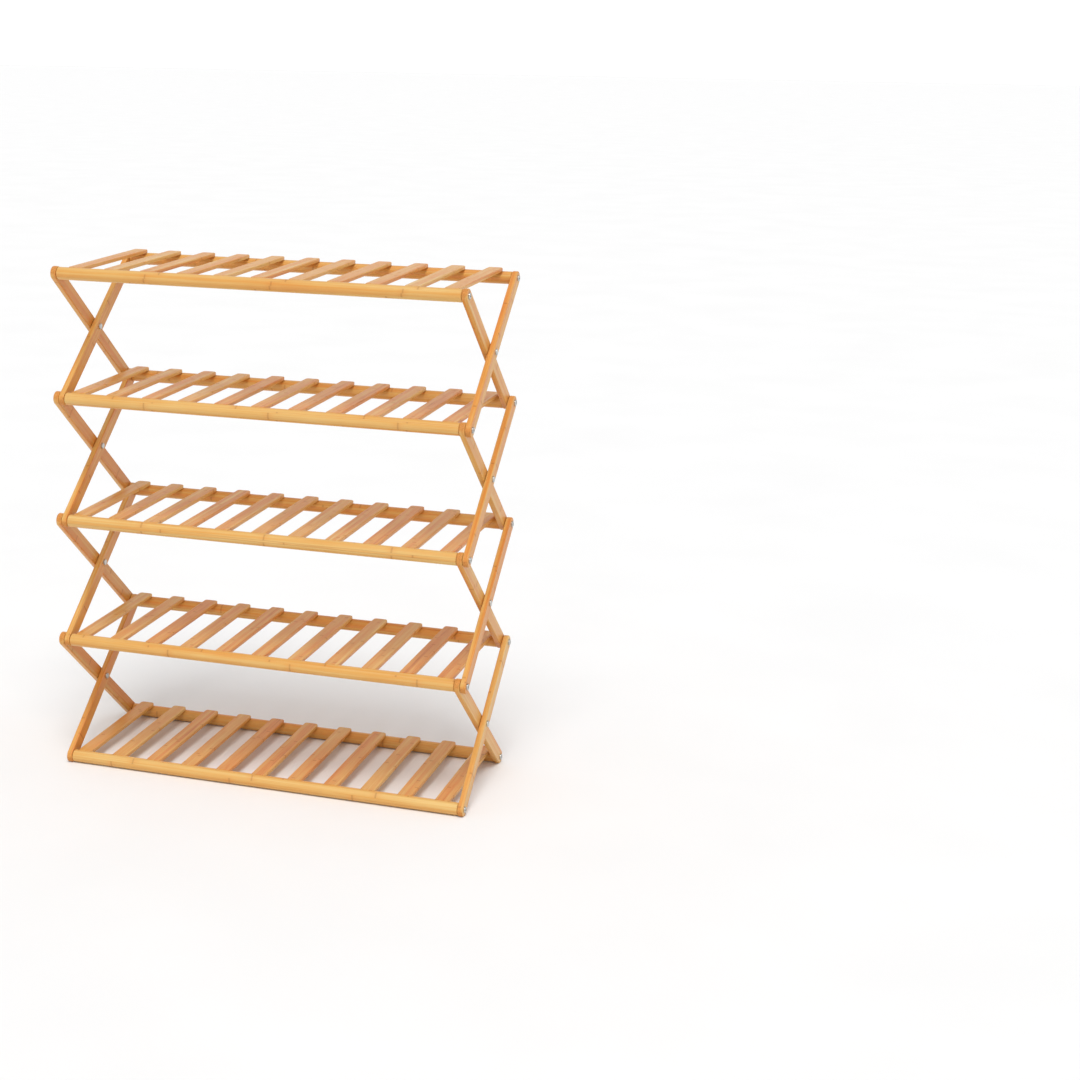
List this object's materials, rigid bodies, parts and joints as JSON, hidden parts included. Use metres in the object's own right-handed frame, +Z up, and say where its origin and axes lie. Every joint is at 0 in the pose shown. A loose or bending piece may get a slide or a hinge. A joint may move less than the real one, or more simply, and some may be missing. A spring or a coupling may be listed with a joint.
{
  "type": "folding shoe rack",
  "caption": "Open bamboo shoe rack of slatted shelves on round rails, held by crossing pivoted legs that fold the whole rack flat.",
  "frame": {"origin": "on the floor, under the centre of the opened rack's bounding box", "axes": "+X along the rails to the right, -Y to the front, +Z up"},
  "size_m": [0.6964, 0.262, 0.8258],
  "materials": {
    "slat_bamboo": "satin lacquer",
    "rail_bamboo": "satin lacquer",
    "leg_bamboo": "satin lacquer",
    "zinc_steel": "zinc plated"
  },
  "bodies": {
    "shelf_5": {"shelf_5_slats": "slat_bamboo", "shelf_5_front_rail": "rail_bamboo", "shelf_5_front_screws": "zinc_steel", "shelf_5_slat_brads": "zinc_steel"},
    "rising_legs_4": {"bay_4_rising_leg_left": "leg_bamboo", "bay_4_rising_leg_right": "leg_bamboo", "bay_4_pivot_rivet_left": "zinc_steel", "bay_4_pivot_rivet_right": "zinc_steel", "shelf_4_rear_rail": "rail_bamboo", "shelf_4_rear_screws": "zinc_steel"},
    "falling_legs_4": {"bay_4_falling_leg_left": "leg_bamboo", "bay_4_falling_leg_right": "leg_bamboo", "shelf_5_rear_rail": "rail_bamboo", "shelf_5_rear_screws": "zinc_steel"},
    "shelf_4": {"shelf_4_slats": "slat_bamboo", "shelf_4_front_rail": "rail_bamboo", "shelf_4_front_screws": "zinc_steel", "shelf_4_slat_brads": "zinc_steel"},
    "rising_legs_3": {"bay_3_rising_leg_left": "leg_bamboo", "bay_3_rising_leg_right": "leg_bamboo", "bay_3_pivot_rivet_left": "zinc_steel", "bay_3_pivot_rivet_right": "zinc_steel", "shelf_3_rear_rail": "rail_bamboo", "shelf_3_rear_screws": "zinc_steel"},
    "falling_legs_3": {"bay_3_falling_leg_left": "leg_bamboo", "bay_3_falling_leg_right": "leg_bamboo"},
    "shelf_3": {"shelf_3_slats": "slat_bamboo", "shelf_3_front_rail": "rail_bamboo", "shelf_3_front_screws": "zinc_steel", "shelf_3_slat_brads": "zinc_steel"},
    "rising_legs_2": {"bay_2_rising_leg_left": "leg_bamboo", "bay_2_rising_leg_right": "leg_bamboo", "bay_2_pivot_rivet_left": "zinc_steel", "bay_2_pivot_rivet_right": "zinc_steel", "shelf_2_rear_rail": "rail_bamboo", "shelf_2_rear_screws": "zinc_steel"},
    "falling_legs_2": {"bay_2_falling_leg_left": "leg_bamboo", "bay_2_falling_leg_right": "leg_bamboo"},
    "shelf_2": {"shelf_2_slats": "slat_bamboo", "shelf_2_front_rail": "rail_bamboo", "shelf_2_front_screws": "zinc_steel", "shelf_2_slat_brads": "zinc_steel"},
    "rising_legs_1": {"bay_1_rising_leg_left": "leg_bamboo", "bay_1_rising_leg_right": "leg_bamboo", "bay_1_pivot_rivet_left": "zinc_steel", "bay_1_pivot_rivet_right": "zinc_steel", "shelf_1_rear_rail": "rail_bamboo", "shelf_1_rear_screws": "zinc_steel"},
    "falling_legs_1": {"bay_1_falling_leg_left": "leg_bamboo", "bay_1_falling_leg_right": "leg_bamboo"},
    "top_pivots": {"shelf_1_front_screws": "zinc_steel"},
    "shelf_1": {"shelf_1_slats": "slat_bamboo", "shelf_1_front_rail": "rail_bamboo", "shelf_1_slat_brads": "zinc_steel"}
  },
  "joints": [
    {"name": "fold", "type": "hinge", "parent": "shelf_5", "child": "rising_legs_4", "pos_m": [0, -0.12, 0.01], "axis": [-1, 0, 0], "range_deg": [0, 35.1]},
    {"name": "cross_4", "type": "hinge", "parent": "rising_legs_4", "child": "falling_legs_4", "pos_m": [0, 0, 0.11], "axis": [1, 0, 0], "range_deg": [0, 70.2]},
    {"name": "level_4", "type": "hinge", "parent": "falling_legs_4", "child": "shelf_4", "pos_m": [0, -0.12, 0.21], "axis": [-1, 0, 0], "range_deg": [0, 35.1]},
    {"name": "fold_3", "type": "hinge", "parent": "shelf_4", "child": "rising_legs_3", "pos_m": [0, -0.12, 0.21], "axis": [-1, 0, 0], "range_deg": [0, 35.1]},
    {"name": "cross_3", "type": "hinge", "parent": "rising_legs_3", "child": "falling_legs_3", "pos_m": [0, 0, 0.31], "axis": [1, 0, 0], "range_deg": [0, 70.2]},
    {"name": "level_3", "type": "hinge", "parent": "falling_legs_3", "child": "shelf_3", "pos_m": [0, -0.12, 0.41], "axis": [-1, 0, 0], "range_deg": [0, 35.1]},
    {"name": "fold_2", "type": "hinge", "parent": "shelf_3", "child": "rising_legs_2", "pos_m": [0, -0.12, 0.41], "axis": [-1, 0, 0], "range_deg": [0, 35.1]},
    {"name": "cross_2", "type": "hinge", "parent": "rising_legs_2", "child": "falling_legs_2", "pos_m": [0, 0, 0.51], "axis": [1, 0, 0], "range_deg": [0, 70.2]},
    {"name": "level_2", "type": "hinge", "parent": "falling_legs_2", "child": "shelf_2", "pos_m": [0, -0.12, 0.61], "axis": [-1, 0, 0], "range_deg": [0, 35.1]},
    {"name": "fold_1", "type": "hinge", "parent": "shelf_2", "child": "rising_legs_1", "pos_m": [0, -0.12, 0.61], "axis": [-1, 0, 0], "range_deg": [0, 35.1]},
    {"name": "cross_1", "type": "hinge", "parent": "rising_legs_1", "child": "falling_legs_1", "pos_m": [0, 0, 0.71], "axis": [1, 0, 0], "range_deg": [0, 70.2]},
    {"name": "level_1", "type": "hinge", "parent": "falling_legs_1", "child": "top_pivots", "pos_m": [0, -0.12, 0.81], "axis": [-1, 0, 0], "range_deg": [0, 35.1]},
    {"name": "top_shelf_lift", "type": "hinge", "parent": "top_pivots", "child": "shelf_1", "pos_m": [0, -0.12, 0.81], "axis": [1, 0, 0], "range_deg": [0, 75]}
  ],
  "couplings": [
    {"joint": "cross_4", "follows": "fold", "ratio": 2},
    {"joint": "level_4", "follows": "fold", "ratio": 1},
    {"joint": "fold_3", "follows": "fold", "ratio": 1},
    {"joint": "cross_3", "follows": "fold", "ratio": 2},
    {"joint": "level_3", "follows": "fold", "ratio": 1},
    {"joint": "fold_2", "follows": "fold", "ratio": 1},
    {"joint": "cross_2", "follows": "fold", "ratio": 2},
    {"joint": "level_2", "follows": "fold", "ratio": 1},
    {"joint": "fold_1", "follows": "fold", "ratio": 1},
    {"joint": "cross_1", "follows": "fold", "ratio": 2},
    {"joint": "level_1", "follows": "fold", "ratio": 1}
  ]
}
